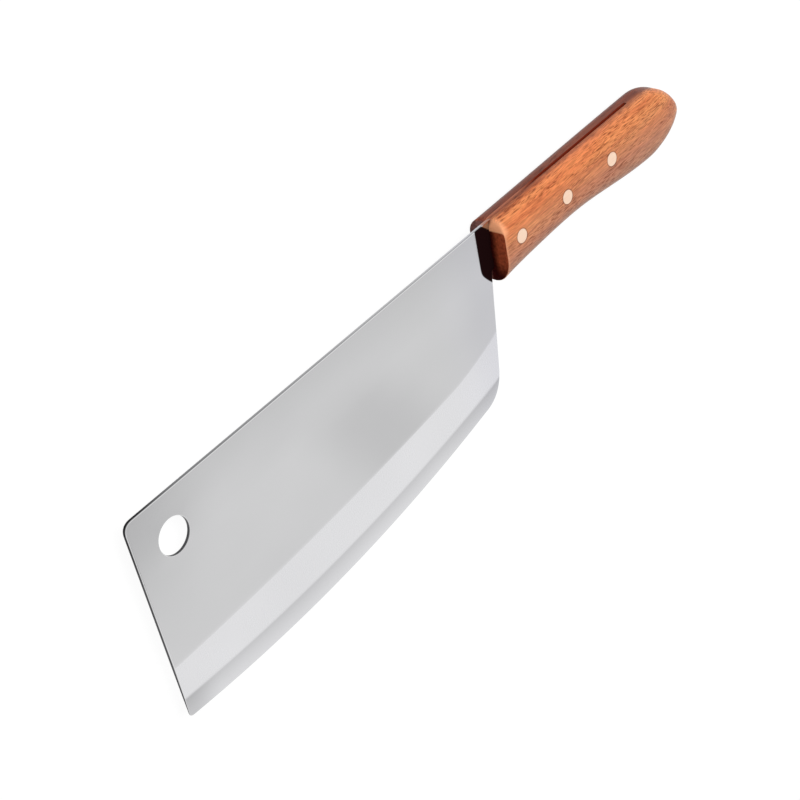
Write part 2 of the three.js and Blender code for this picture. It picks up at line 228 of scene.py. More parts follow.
def bladeSheet():
    # one side of the steel as rows from spine to edge and columns from tip to heel, with a
    # second grid for the tang and a third that runs from a block of cells to the hole's circle
    front = blade["length"]
    rootY = blade["tangRoot"][1]
    rootBand = float(rootY / grindHeight(front))
    rootRow, flatRows, groundRows, bevelRows = blade["rows"]
    bands = np.concatenate([
        rootBand * np.linspace(0, 1, rootRow + 1),
        rootBand + (1 - rootBand) * np.linspace(0, 1, flatRows + 1)[1:],
        1 + np.linspace(0, 1, groundRows + 1)[1:],
        2 + np.linspace(0, 1, bevelRows + 1)[1:],
    ])
    corner = blade["spineCorner"]
    cornerColumns, columns = blade["columns"]
    stations = np.concatenate([
        corner * np.linspace(0, 1, cornerColumns + 1)[:-1] ** 2,
        np.linspace(corner, front, columns + 1),
    ])

    # the last column follows the heel, and those before it lean towards it
    footEnd = heelFoot[len(heelFoot) // 2]
    endY = np.interp(bands, [rootBand, 1, 2, 3], [rootY, lineEnd(1), lineEnd(2), footEnd[1]])
    endX = np.where(bands <= rootBand, front, heelStation(endY))
    endX[-1] = footEnd[0]
    pull = np.clip((stations - blade["warpFrom"]) / (front - blade["warpFrom"]), 0, 1) ** 2
    x = stations[None, :] + (endX - front)[:, None] * pull[None, :]
    miss = np.where(bands <= rootBand, 0, endY - bandHeight(bands, endX))
    y = bandHeight(bands[:, None], x) + miss[:, None] * pull[None, :]
    mainIndex = gridIndex(x.shape)

    # the tang between its top and its underside
    end, reach = blade["tangEnd"], blade["tangCorner"]
    tangColumns, endColumns = blade["tangColumns"]
    tangX = np.concatenate([
        np.linspace(front, end - reach, tangColumns + 1)[1:],
        end - reach * np.linspace(1, 0, endColumns + 1)[1:] ** 2,
    ])
    drop = cornerDrop(end - tangX, reach)
    level, sunk, depth = blade["tangSink"]
    tangTop = np.interp(tangX, [level, sunk, end - reach], [0, depth, blade["tangEndTop"]]) - drop
    tangLow = np.interp(tangX, [front, end - reach], [rootY, blade["tangEndLow"]]) + drop
    tangShare = (bands[: rootRow + 1] / rootBand)[:, None]
    tangY = tangTop + (tangLow - tangTop) * tangShare
    tangIndex = gridIndex(tangY.shape, x.size)
    joined = np.hstack([mainIndex[: rootRow + 1, -1:], tangIndex])

    flat = np.vstack([
        np.stack([x.ravel(), y.ravel()], -1),
        np.stack([np.broadcast_to(tangX, tangY.shape).ravel(), tangY.ravel()], -1),
    ])
    band = np.concatenate([np.repeat(bands, x.shape[1]), np.zeros(tangY.size)])

    # the block of cells round the hole, and rings from its outline in to the circle
    centre, radius = np.array(blade["holeCentre"]), blade["holeRadius"]
    blockHigh, blockLong = blade["holeBlock"]
    middle = np.abs(y - centre[1])[:, np.argmin(np.abs(stations - centre[0]))]
    top, low = np.where(middle < blockHigh * radius)[0][[0, -1]]
    left, right = np.where(np.abs(stations - centre[0]) < blockLong * radius)[0][[0, -1]]
    loop = np.concatenate([
        mainIndex[top, left:right],
        mainIndex[top:low, right],
        mainIndex[low, left + 1 : right + 1][::-1],
        mainIndex[top + 1 : low + 1, left][::-1],
    ])
    away = flat[loop] - centre
    circle = away / np.linalg.norm(away, axis=1, keepdims=True) * radius
    rings = blade["holeRings"]
    spread = (np.linspace(0, 1, rings + 1)[:-1] ** blade["holeSpread"])[:, None, None]
    ringPoints = centre + circle + (away - circle) * spread
    ringIndex = np.vstack([gridIndex((rings, len(loop)), len(flat)), loop])
    flat = np.vstack([flat, ringPoints.reshape(-1, 2)])
    band = np.concatenate([band, np.tile(band[loop], rings)])

    cells = gridFaces(mainIndex).reshape(len(bands) - 1, -1, 4)
    keep = np.ones(cells.shape[:2], bool)
    keep[top:low, left:right] = False
    faces = np.vstack([
        cells[keep],
        gridFaces(joined),
        gridFaces(ringIndex, flip=True, closed=True),
    ])
    outline = np.concatenate([
        mainIndex[0],
        tangIndex[0],
        tangIndex[1:, -1],
        tangIndex[-1, :-1][::-1],
        mainIndex[rootRow:, -1],
        mainIndex[-1, :-1][::-1],
        mainIndex[1:-1, 0][::-1],
    ])
    return flat, band, faces, outline, ringIndex[0]


def roundedWall(flat, half, loop, radius, inward=False):
    # carries a quarter round, a flat wall and a quarter round along a closed line of the sheet
    line = flat[loop]
    along = np.roll(line, -1, 0) - np.roll(line, 1, 0)
    out = np.stack([-along[:, 1], along[:, 0]], -1)
    out /= np.linalg.norm(out, axis=1, keepdims=True)
    if inward:
        out = -out
    ease = np.minimum(radius, blade["roundMost"] * half[loop])[:, None]
    turn = np.radians(np.linspace(0, 90, blade["roundSteps"] + 1)[1:])[:, None, None]
    shifted = line + out * ease * (np.sin(turn) - 1)
    rise = half[loop] - ease[:, 0] * (1 - np.cos(turn[..., 0]))
    upper = np.concatenate([shifted, rise[..., None]], -1)
    lower = upper[::-1] * [1, 1, -1]
    # the sheet draws back from the line, most at the line and not at all beyond the reach;
    # its points are taken in lots, because each is measured to the whole line
    for lot in np.array_split(np.arange(len(flat)), blade["rimLots"]):
        away = np.linalg.norm(flat[lot][:, None] - line[None], axis=2)
        nearest = away.argmin(1)
        share = np.clip(1 - away.min(1) / blade["rimReach"], 0, 1)[:, None]
        flat[lot] -= (out * ease)[nearest] * share
    return np.vstack([upper, lower])


def stripDepth(ahead, y):
    # depth inside the dull dark area beside the handle, a painted reflection of its front end: the least
    # distance to its front, its curved foot and its slanting top, with the corner of front and foot
    # eased by exponentials
    wide, ease, slope = blade["stripWide"], blade["stripEase"], blade["stripSlope"]
    foot = blade["stripFoot"] + wide * np.clip(ahead / wide, 0, None) ** blade["stripCurve"]
    topAt, topRise = blade["stripTop"]
    below = topAt + topRise * ahead - y
    depth = -ease * np.log(np.exp((ahead - wide) / ease) + np.exp(-slope * (y - foot) / ease))
    return np.minimum(depth, slope * below)


def makeBlade():
    # the sheet at plus and minus half its thickness, joined by rounded walls along its outline
    # and round the hole; the marks tell the finish where on the steel it is
    flat, band, faces, outline, hole = bladeSheet()
    thinned = halfThickness(flat[:, 0], flat[:, 1])
    half = np.where(flat[:, 0] < blade["length"], thinned, blade["halfThick"])
    walls = [
        (outline, roundedWall(flat, half, outline, blade["rimRound"]), blade["rimMarks"]),
        (hole, roundedWall(flat, half, hole, blade["boreRound"], inward=True), blade["boreMarks"]),
    ]
    count = len(flat)
    start = 2 * count
    plain = np.zeros(start)
    points = [np.column_stack([flat, half]), np.column_stack([flat, -half])]
    quads = [faces, faces[:, ::-1] + count]
    marks = {"band": [band, band], "rim": [plain], "shoulder": [plain], "bore": [plain]}
    for loop, wall, bare in walls:
        rows, columns = wall.shape[:2]
        index = np.vstack([loop, gridIndex(wall.shape, start), loop + count])
        quads.append(gridFaces(index, flip=loop is outline, closed=True))
        points.append(wall.reshape(-1, 3))
        marks["band"].append(np.tile(band[loop], rows))
        marks["rim"].append(np.repeat(bare, columns))
        marks["shoulder"].append(np.repeat(blade["shoulderMarks"], columns))
        marks["bore"].append(np.repeat(bare, columns) * (loop is hole))
        start += rows * columns
    points = np.vstack(points)
    marks = {key: np.concatenate(values) for key, values in marks.items()}
    ahead = blade["length"] + blade["frontSlant"] * points[:, 1] - points[:, 0]
    # depth in the painted dark reflection beside the handle
    marks["strip"] = stripDepth(ahead, points[:, 1])
    # distance behind the handle's front, for the painted reflection of the wood on the spine
    marks["sunk"] = -ahead
    return makePiece("cleaver_blade", points, np.vstack(quads), blade["sharpAngle"], marks)


bladePiece = makeBlade()
print("blade made,", len(bladePiece.data.polygons), "faces")


handle = {
    "length": 116.6,
    "halfWide": 8.6,
    "top": 0.3,
    "frontDepth": 25.9,
    "flarePower": 2.0,
    "waistDepth": 23.0,
    "waistAt": 243.1,
    "bellyDepth": 27.0,
    "bellyAt": 295.7,
    "buttDepth": 16.9,
    "buttLean": 0.11,
    "leanLength": 45.0,
    "topRound": (17.7, 2.17),  # length and power of the round at the butt
    "lowPower": 1.5,
    "sideRound": (24.9, 3.3),
    "cornerTop": (6.7, 5.8),  # radius at the front and further back
    "cornerGrow": 80.0,
    "cornerMost": (0.97, 0.47),  # of the half width, of the depth
    "cornerLow": (10.5, 8.7),  # height of the round underside at the front and further back
    "cornerLowGrow": 25.0,
    "cornerLowMost": 0.51,  # of the depth
    "cornerLowWide": 0.99,  # of the half width
    "frontDrop": 4.8,  # the upper edge of the front is taken off this far down
    "farDrop": 1.0,  # the same on the far side
    "farForward": 0.9,
    "farLength": 14.0,
    "frontReach": 3.3,
    "frontPower": 3.5,
    "frontSoft": 1.6,
    "frontEdge": 0.4,
    "slantLength": 30.0,
    "slotEnd": 294.5,
    "slotStep": 0.02,
    "slotHalf": 0.8,
    "slotWeb": -9.0,  # hidden inside the tang
    "slotRows": (0.02, 0.3, 1.0),  # shares of the slot's depth
    "grooveDeep": 0.6,
    "endReach": 0.1,
    # the pale front edge, partly wear and partly painted light
    "wearAndPaintedLightReach": 1.3,
    "stations": (6, 14, 95, 45),  # in the front's edge, its eased part, the body and the butt
    "turnSteps": 16,
    "flatSteps": 6,
    "sideSteps": 12,
    "lowSteps": 3,
    "sharpAngle": 0.9,
}


def roundOver(share, power):
    # fall from 0 to 1 along a quarter of an oval whose corner fills out with the power
    return 1 - (1 - np.clip(share, 0, 1) ** power) ** (1 / power)


def wave(share):
    # half a cosine wave from 0 to 1
    return (1 - np.cos(np.pi * np.clip(share, 0, 1))) / 2


def softLeast(*values, power=8.0):
    # smallest of several sizes with its corners eased, the root of a sum of inverse powers
    return sum(np.maximum(v, tiny) ** -power for v in values) ** (-1 / power)


def softCut(height, limit, soft):
    # the lower of height and limit, with the corner between them eased over the soft length
    share = np.clip(0.5 + 0.5 * (limit - height) / np.maximum(soft, tiny), 0, 1)
    return limit + (height - limit) * share - soft * share * (1 - share)


def handleCurves():
    # top, underside and half width at each station: the top rounds over at the butt, the
    # underside flares to the front, swells in half a wave from waist to belly and rounds up to
    # the butt, the sides round in at the butt, and the front's edge is eased
    front, belly, waist = blade["length"], handle["bellyAt"], handle["waistAt"]
    butt = front + handle["length"]
    edge, reach = handle["frontEdge"], handle["frontReach"]
    edgeSteps, easedSteps, bodySteps, buttSteps = handle["stations"]
    stations = np.sort(np.concatenate([
        front + edge * (1 - np.cos(np.pi / 2 * np.linspace(0, 1, edgeSteps + 1)[:-1])),
        np.linspace(front + edge, front + reach, easedSteps + 1)[:-1],
        np.linspace(front + reach, belly, bodySteps + 1)[:-1],
        belly + (butt - belly) * np.sin(np.pi / 2 * np.linspace(0, 1, buttSteps + 1)),
        [handle["slotEnd"], handle["slotEnd"] + handle["slotStep"]],
    ]))
    past = stations - front
    eased = edge * roundOver(1 - past / edge, 2)
    topLength, topPower = handle["topRound"]
    topRound = roundOver((stations - butt + topLength) / topLength, topPower)
    top = handle["top"] - (handle["top"] + handle["buttDepth"]) * topRound
    waistShare = np.clip(past / (waist - front), 0, 1)
    flare = (handle["frontDepth"] - handle["waistDepth"]) * (1 - waistShare) ** handle["flarePower"]
    swell = (handle["bellyDepth"] - handle["waistDepth"]) * wave((stations - waist) / (belly - waist))
    lowRound = roundOver((stations - belly) / (butt - belly), handle["lowPower"])
    low = -handle["waistDepth"] - flare - swell
    low = low + (-handle["buttDepth"] - low) * lowRound + eased
    sideLength, sidePower = handle["sideRound"]
    sideRound = roundOver((stations - butt + sideLength) / sideLength, sidePower)
    half = handle["halfWide"] * (1 - sideRound) - eased
    return stations, top, low, half


def handleRings():
    # rounded rectangles along the handle between the four curves, with a saw slot let into the
    # top and the underside, the front's upper edge taken off and both ends set at a slant
    stations, top, low, half = (v[:, None] for v in handleCurves())
    front = blade["length"]
    past = stations - front
    inSlot = stations <= handle["slotEnd"]
    slot = np.minimum(np.where(inSlot, handle["slotHalf"], 0), half)
    ahead = np.clip(1 - past / handle["frontReach"], 0, 1)
    cap = top - handle["frontDrop"] * ahead ** handle["frontPower"]
    farCap = top - handle["farDrop"] * ahead ** handle["frontPower"]

    frontCorner, rearCorner = handle["cornerTop"]
    corner = frontCorner + (rearCorner - frontCorner) * wave(past / handle["cornerGrow"])
    ofHalf, ofDepth = handle["cornerMost"]
    upper = softLeast(corner, ofHalf * half, ofDepth * (top - low))
    frontRound, rearRound = handle["cornerLow"]
    lowRadius = frontRound + (rearRound - frontRound) * wave(past / handle["cornerLowGrow"])
    lower = softLeast(lowRadius, handle["cornerLowMost"] * (top - low))
    lowWide = handle["cornerLowWide"] * half

    turn = np.linspace(0, np.pi / 2, handle["turnSteps"] + 1)
    flatShare = np.linspace(0, 1, handle["flatSteps"] + 1)[:-1]
    sideShare = np.linspace(0, 1, handle["sideSteps"] + 1)[1:-1]
    lowShare = np.linspace(0, 1, handle["lowSteps"] + 1)[1:]
    nearY = np.hstack([
        top + 0 * flatShare,
        top - upper + upper * np.cos(turn),
        (top - upper) + (low + lower - top + upper) * sideShare,
        low + lower * (1 - np.sin(turn)),
        low + 0 * lowShare,
    ])
    nearZ = np.hstack([
        slot + (half - upper - slot) * flatShare,
        half - upper + upper * np.sin(turn),
        half + 0 * sideShare,
        half - lowWide * (1 - np.cos(turn)),
        (half - lowWide) + (slot - half + lowWide) * lowShare,
    ])
    soft = handle["frontSoft"] * ahead
    farY = softCut(nearY, farCap, soft * handle["farDrop"] / handle["frontDrop"])
    nearY = softCut(nearY, cap, soft)

    dip = np.array(handle["slotRows"]) * inSlot
    keelY = low + handle["grooveDeep"] * dip
    crownY = cap + (handle["slotWeb"] - cap) * dip
    farCrownY = farCap + (handle["slotWeb"] - farCap) * dip
    wall = slot + 0 * dip
    y = np.hstack([nearY, keelY, keelY[:, ::-1], farY[:, ::-1], farCrownY, crownY[:, ::-1]])
    z = np.hstack([nearZ, wall, -wall, -nearZ[:, ::-1], -wall, wall])
    slant = blade["frontSlant"] * (1 - wave(past / handle["slantLength"]))
    leanLength = handle["leanLength"]
    lean = handle["buttLean"] * wave((past - handle["length"] + leanLength) / leanLength)
    forward = handle["farForward"] * (1 - wave(past / handle["farLength"]))
    x = stations + slant * y - lean * (y + handle["buttDepth"])
    x -= forward * wave(-z / handle["halfWide"])
    deep = np.broadcast_to(inSlot, dip.shape) * 1.0
    plain = np.zeros_like(nearY)
    inside = np.hstack([plain, deep, deep, plain, deep, deep])
    return past, np.stack([x, y, z], -1), inside


def makeHandle():
    # the rings joined into a skin; one face closes the front, and the butt runs to a point
    past, rings, inside = handleRings()
    index = gridIndex(rings.shape)
    past = np.repeat(past, rings.shape[1])
    marks = {
        "endGrain": np.clip(1 - past / handle["endReach"], 0, 1),
        # the pale front edge, partly wear and partly painted light
        "wearAndPaintedLight": np.clip(1 - past / handle["wearAndPaintedLightReach"], 0, 1),
        "inSlot": inside.ravel(),
    }
    points, quads = rings.reshape(-1, 3), gridFaces(index, closed=True)
    sharpAngle = handle["sharpAngle"]
    return makePiece("cleaver_handle", points, quads, sharpAngle, marks, weld=True, lid=index[0])


handlePiece = makeHandle()
print("handle made,", len(handlePiece.data.polygons), "faces")


rivets = {
    "first": (211.6, -10.4),
    "pitch": 29.2,
    "names": ["front", "middle", "rear"],
    "headRadius": 2.9,
    "headHeight": 1.5,
    "sleeveRadius": 2.0,
    "postRadius": 1.2,
    "bore": 1.25,
    "crown": 0.07,
    "crownFall": 0.6,  # share of the crown lost by the rim
    "crownSteps": 8,
    "rimRound": 0.12,
    "rimSteps": 5,
    "sleeveShort": 1.5,
    "postShort": 0.5,
    "sides": 64,
    "sharpAngle": 0.6,
}
rivetSpots = [
    (rivets["first"][0] + i * rivets["pitch"], rivets["first"][1]) for i in range(len(rivets["names"]))
]


def turnedPoints(profile, spot):
    # a profile of radius and height carried round the rivet's axis
    turn = np.linspace(0, 2 * np.pi, rivets["sides"], endpoint=False)[None, :]
    radius, height = np.array(profile)[:, 0, None], np.array(profile)[:, 1, None]
    x = spot[0] + radius * np.cos(turn)
    y = spot[1] + radius * np.sin(turn)
    return np.stack([x, y, height + 0 * turn], -1)


def headProfile(floor):
    # a face crowned by a parabola, a quarter round and the straight side of the head
    radius, rim = rivets["headRadius"], rivets["rimRound"]
    out = np.linspace(0, radius - rim, rivets["crownSteps"] + 1)
    crown = handle["halfWide"] + rivets["crown"] * (1 - rivets["crownFall"] * (out / radius) ** 2)
    turn = np.radians(np.linspace(0, 90, rivets["rimSteps"] + 1)[1:])
    rimOut = radius - rim + rim * np.sin(turn)
    rimUp = crown[-1] - rim * (1 - np.cos(turn))
    return list(zip(out, crown)) + list(zip(rimOut, rimUp)) + [(radius, floor)]


def makeRivets():
    # a post with a solid shank from one side, and a sleeve with a blind bore from the other
    made = []
    floor = handle["halfWide"] - rivets["headHeight"]
    head = headProfile(floor)
    post = head + [
        (rivets["postRadius"], floor),
        (rivets["postRadius"], -floor + rivets["postShort"]),
        (0, -floor + rivets["postShort"]),
    ]
    rim = floor - rivets["sleeveShort"]
    sleeve = [(r, -h) for r, h in head] + [
        (rivets["sleeveRadius"], -floor),
        (rivets["sleeveRadius"], rim),
        (rivets["bore"], rim),
        (rivets["bore"], -floor),
        (0, -floor),
    ]
    for name, spot in zip(rivets["names"], rivetSpots):
        for half, profile in (("post", post), ("sleeve", sleeve)):
            rings = turnedPoints(profile, spot)
            quads = gridFaces(gridIndex(rings.shape), closed=True)
            points = rings.reshape(-1, 3)
            piece = makePiece(f"{name}_{half}", points, quads, rivets["sharpAngle"], weld=True)
            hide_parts(f"{name}_rivet_{half}")
            made.append(piece)
    return made


rivetPieces = makeRivets()
print("rivets made,", len(rivetPieces), "pieces")


# short ways to place shader nodes
unit = (0.0, 1.0)
fall = (1.0, 0.0)


def fill(tree, node, inputs):
    for key, value in inputs.items():
        if isinstance(value, bpy.types.NodeSocket):
            tree.links.new(value, node.inputs[key])
        else:
            node.inputs[key].default_value = value


def place(tree, kind, inputs=None, **settings):
    made = tree.nodes.new("ShaderNode" + kind)
    for key, value in settings.items():
        setattr(made, key, value)
    fill(tree, made, inputs or {})
    return made


def attribute(tree, name):
    return place(tree, "Attribute", attribute_name=name).outputs["Fac"]


def sums(tree, operation, *values):
    return place(tree, "Math", dict(enumerate(values)), operation=operation).outputs[0]


def product(tree, first, *others):
    for other in others:
        first = sums(tree, "MULTIPLY", first, other)
    return first


def without(tree, mask):
    return sums(tree, "SUBTRACT", 1.0, mask)


def vectors(tree, operation, first, second, output="Vector"):
    return place(tree, "VectorMath", {0: first, 1: second}, operation=operation).outputs[output]


def ramp(tree, value, reach, ends=unit, kind="LINEAR"):
    # takes a value from the two limits of its reach to the two ends
    inputs = {0: value, 1: reach[0], 2: reach[1], 3: ends[0], 4: ends[1]}
    return place(tree, "MapRange", inputs, interpolation_type=kind).outputs[0]


def fade(tree, value, reach, ends=unit):
    return ramp(tree, value, reach, ends, "SMOOTHSTEP")


def blendValue(tree, factor, first, second):
    return place(tree, "Mix", {0: factor, 2: first, 3: second}).outputs[0]


def blendColour(tree, factor, first, second, mode="MIX"):
    inputs = {0: factor, 6: first, 7: second}
    return place(tree, "Mix", inputs, data_type="RGBA", blend_type=mode).outputs[2]


def shadeColour(tree, colour, shade, blue=None):
    # a colour times a grey, whose blue can have a value of its own
    blue = shade if blue is None else blue
    grey = place(tree, "CombineColor", {0: shade, 1: shade, 2: blue}).outputs[0]
    return blendColour(tree, 1.0, colour, grey, "MULTIPLY")


def tone(red, green, blue):
    # a screen colour of 0 to 255 as the shader's linear colour
    share = np.array([red, green, blue]) / 255
    linear = np.where(share <= 0.04045, share / 12.92, ((share + 0.055) / 1.055) ** 2.4)
    return (*linear.tolist(), 1.0)


def streakGroup():
    # noise drawn out along an axis: fibres in wood, grinding and sanding lines in metal
    group = bpy.data.node_groups.new("streaks", "ShaderNodeTree")
    kinds = {"Vector": "Vector", "Stretch": "Vector", "Detail": "Float", "Low": "Float", "High": "Float"}
    for key, kind in kinds.items():
        group.interface.new_socket(key, in_out="INPUT", socket_type="NodeSocket" + kind)
    group.interface.new_socket("Value", in_out="OUTPUT", socket_type="NodeSocketFloat")
    given = group.nodes.new("NodeGroupInput").outputs
    out = group.nodes.new("NodeGroupOutput").inputs
    scaled = vectors(group, "MULTIPLY", given["Vector"], given["Stretch"])
    noise = place(group, "TexNoise", {"Vector": scaled, "Scale": 1.0, "Detail": given["Detail"]})
    value = ramp(group, noise.outputs[0], (given["Low"], given["High"]))
    group.links.new(value, out["Value"])
    return group


streaks = streakGroup()


def streak(tree, vector, stretch, detail, low, high):
    inputs = {"Vector": vector, "Stretch": stretch, "Detail": detail, "Low": low, "High": high}
    return place(tree, "Group", inputs, node_tree=streaks).outputs[0]


def newMaterial(name):
    material = bpy.data.materials.new(name)
    material.use_nodes = True
    tree = material.node_tree
    where = place(tree, "TexCoord").outputs["Object"]
    return material, tree, tree.nodes["Principled BSDF"], where


# reaches are places on the object in metres, unless a note says otherwise
steel = {
    "flat": tone(206, 206, 207),
    "ground": tone(227, 227, 229),
    "groundBand": (0.975, 1.04),  # bands, as in bandHeight
    "bevelTop": tone(198, 198, 200),
    "bevelEdge": tone(219, 219, 221),
    "bevelBand": (1.94, 2.12),
    "edgeBand": (2.08, 2.95),
    "edgePower": 0.7,
    "bevelTip": 0.82,
    "bevelTipReach": (-0.158, -0.142),
    "bevelHeel": 0.87,
    "bevelHeelReach": (-0.018, 0.03),
    "rim": tone(228, 228, 230),
    # painted highlight along the spine
    "shoulder": tone(250, 250, 251),
    # painted shade on the walls at the tip, its corner, the spine and the hole
    "tipEdge": tone(72, 72, 74),
    "tipWall": (-0.1592, -0.1575),
    "spineWall": (-0.155, 0.03),
    "spineWallDark": (0.85, 0.1),
    "tipCorner": tone(34, 34, 36),
    "cornerReach": (0.006, 0.024),  # along and down from the corner together
    "bore": tone(76, 76, 78),
    # painted reflection of the wood where the spine runs into it
    "sunkWall": tone(206, 158, 138),
    "sunkFrom": (-4.0, -2.0),  # mm behind the handle's front
    "sunkTop": (0.0434, 0.0438),
    # painted dark reflection of the handle's front end, with the metal turned dull there
    "strip": tone(28, 12, 13),
    "stripEdge": (-0.35, 0.35),  # mm inside the area
    "stripDark": (0.0, 0.6),
    "stripDull": (0.6, 1.0),
    # painted shade on the flat towards the spine, the tip and the heel
    "spineShade": 0.89,
    "spineBand": (0.0, 0.4),
    "tipShade": 0.83,
    "tipReach": (-0.16, -0.112),
    "tipBand": (0.1, 0.9),
    "tipBandLeft": (1.0, 0.2),
    "heelShade": 0.963,
    "heelReach": (-0.035, 0.02),
    "heelEnd": 0.955,
    "heelEndReach": (0.012, 0.03),
    # a dim reflection painted across the middle of the flat
    "dim": 0.872,
    "dimSlant": 0.7,
    "dimAt": -0.0355,
    "dimReach": (0.003, 0.036),
    "dimDown": (0.013, 0.0335),
    "cool": 1.035,
    "coolReach": (-0.005, 0.04),
    "rolled": ((30, 1500, 1500), 2.0, 0.3, 0.7),  # stretch, detail, low and high of the streaks
    "crosswise": ((1700, 60, 60), 2.0, 0.3, 0.7),
    "cloud": ((14, 22, 22), 2.0, 0.3, 0.7),
    "lineShade": (0.994, 1.006),
    "cloudShade": (0.965, 1.02),
    "roughFlat": 0.1,
    "roughGround": 0.26,
    "roughBevel": 0.15,
    "roughRim": 0.4,
    "roughLines": (-0.025, 0.025),
    "bumpStrength": 0.018,
    "bumpDistance": 0.00004,
}


def steelMaterial():
    material, tree, shader, where = newMaterial("satin_steel")
    at = place(tree, "SeparateXYZ", {0: where}).outputs
    band = attribute(tree, "band")
    rim = attribute(tree, "rim")
    ground = fade(tree, band, steel["groundBand"])
    bevel = fade(tree, band, steel["bevelBand"])
    rolled = streak(tree, where, *steel["rolled"])
    crosswise = streak(tree, where, *steel["crosswise"])
    lines = blendValue(tree, ground, rolled, crosswise)
    cloud = streak(tree, where, *steel["cloud"])

    # flat, ground band and bevel; the bevel is darker at both of its ends
    colour = blendColour(tree, ground, steel["flat"], steel["ground"])
    towardsEdge = sums(tree, "POWER", ramp(tree, band, steel["edgeBand"]), steel["edgePower"])
    bevelColour = blendColour(tree, towardsEdge, steel["bevelTop"], steel["bevelEdge"])
    bevelTip = fade(tree, at["X"], steel["bevelTipReach"], (steel["bevelTip"], 1.0))
    bevelHeel = fade(tree, at["X"], steel["bevelHeelReach"], (1.0, steel["bevelHeel"]))
    bevelColour = shadeColour(tree, bevelColour, product(tree, bevelTip, bevelHeel))
    colour = blendColour(tree, bevel, colour, bevelColour)

    # the walls: painted shade, dark at the tip, its upper corner and in the hole, paler along the spine
    atTip = ramp(tree, at["X"], steel["tipWall"], fall)
    atSpine = ramp(tree, at["X"], steel["spineWall"], steel["spineWallDark"])
    wall = blendColour(tree, sums(tree, "MAXIMUM", atTip, atSpine), steel["rim"], steel["tipEdge"])
    fromCorner = sums(tree, "SUBTRACT", at["X"], at["Y"])
    fromCorner = sums(tree, "SUBTRACT", fromCorner, float(drawnOrigin[0] - drawnOrigin[1]))
    atCorner = fade(tree, fromCorner, steel["cornerReach"], fall)
    wall = blendColour(tree, atCorner, wall, steel["tipCorner"])
    wall = blendColour(tree, attribute(tree, "bore"), wall, steel["bore"])
    # a warm tint where the spine runs into the wood, a painted reflection of the wood
    sunk = fade(tree, attribute(tree, "sunk"), steel["sunkFrom"])
    wall = blendColour(tree, sunk, wall, steel["sunkWall"])
    colour = blendColour(tree, rim, colour, wall)
    sunkTop = product(tree, sunk, fade(tree, at["Y"], steel["sunkTop"]))
    colour = blendColour(tree, sunkTop, colour, steel["sunkWall"])

    # fine lines and clouds, and painted shade towards the spine, the tip and the heel
    lineShade = ramp(tree, lines, unit, steel["lineShade"])
    cloudShade = ramp(tree, cloud, unit, steel["cloudShade"])
    spineShade = ramp(tree, band, steel["spineBand"], (steel["spineShade"], 1.0))
    tipShade = fade(tree, at["X"], steel["tipReach"], fall)
    tipShade = product(tree, tipShade, fade(tree, band, steel["tipBand"], steel["tipBandLeft"]))
    tipShade = ramp(tree, tipShade, unit, (1.0, steel["tipShade"]))
    heelShade = fade(tree, at["X"], steel["heelReach"], (1.0, steel["heelShade"]))
    heelEnd = fade(tree, at["X"], steel["heelEndReach"], (1.0, steel["heelEnd"]))
    shade = product(tree, lineShade, cloudShade, spineShade, tipShade, heelShade, heelEnd)
    # a painted dim reflection slants across the middle of the flat
    slanted = sums(tree, "ADD", at["X"], product(tree, at["Y"], steel["dimSlant"]))
    slanted = sums(tree, "ABSOLUTE", sums(tree, "SUBTRACT", slanted, steel["dimAt"]))
    dimAlong = fade(tree, slanted, steel["dimReach"], fall)
    dimDown = fade(tree, at["Y"], steel["dimDown"], fall)
    dim = product(tree, dimAlong, dimDown, without(tree, ground))
    shade = product(tree, shade, ramp(tree, dim, unit, (1.0, steel["dim"])))
    cool = product(tree, shade, fade(tree, at["X"], steel["coolReach"], (1.0, steel["cool"])))
    colour = shadeColour(tree, colour, shade, cool)

    # a painted highlight along the spine, and the dull dark area beside the handle
    shoulder = product(tree, attribute(tree, "shoulder"), without(tree, sunk))
    colour = blendColour(tree, shoulder, colour, steel["shoulder"])
    # the dark area is a painted reflection of the handle's front end, with the metal turned dull there
    beside = fade(tree, attribute(tree, "strip"), steel["stripEdge"])
    beside = product(tree, beside, without(tree, rim))
    colour = blendColour(tree, ramp(tree, beside, steel["stripDark"]), colour, steel["strip"])

    rough = blendValue(tree, ground, steel["roughFlat"], steel["roughGround"])
    rough = blendValue(tree, bevel, rough, steel["roughBevel"])
    rough = blendValue(tree, rim, rough, steel["roughRim"])
    rough = sums(tree, "ADD", rough, ramp(tree, lines, unit, steel["roughLines"]))
    bump = {"Strength": steel["bumpStrength"], "Distance": steel["bumpDistance"], "Height": lines}
    fill(tree, shader, {
        "Base Color": colour,
        "Roughness": rough,
        "Normal": place(tree, "Bump", bump).outputs[0],
        "Metallic": ramp(tree, beside, steel["stripDull"], fall),
        "Specular IOR Level": 0.0,
    })
    return material


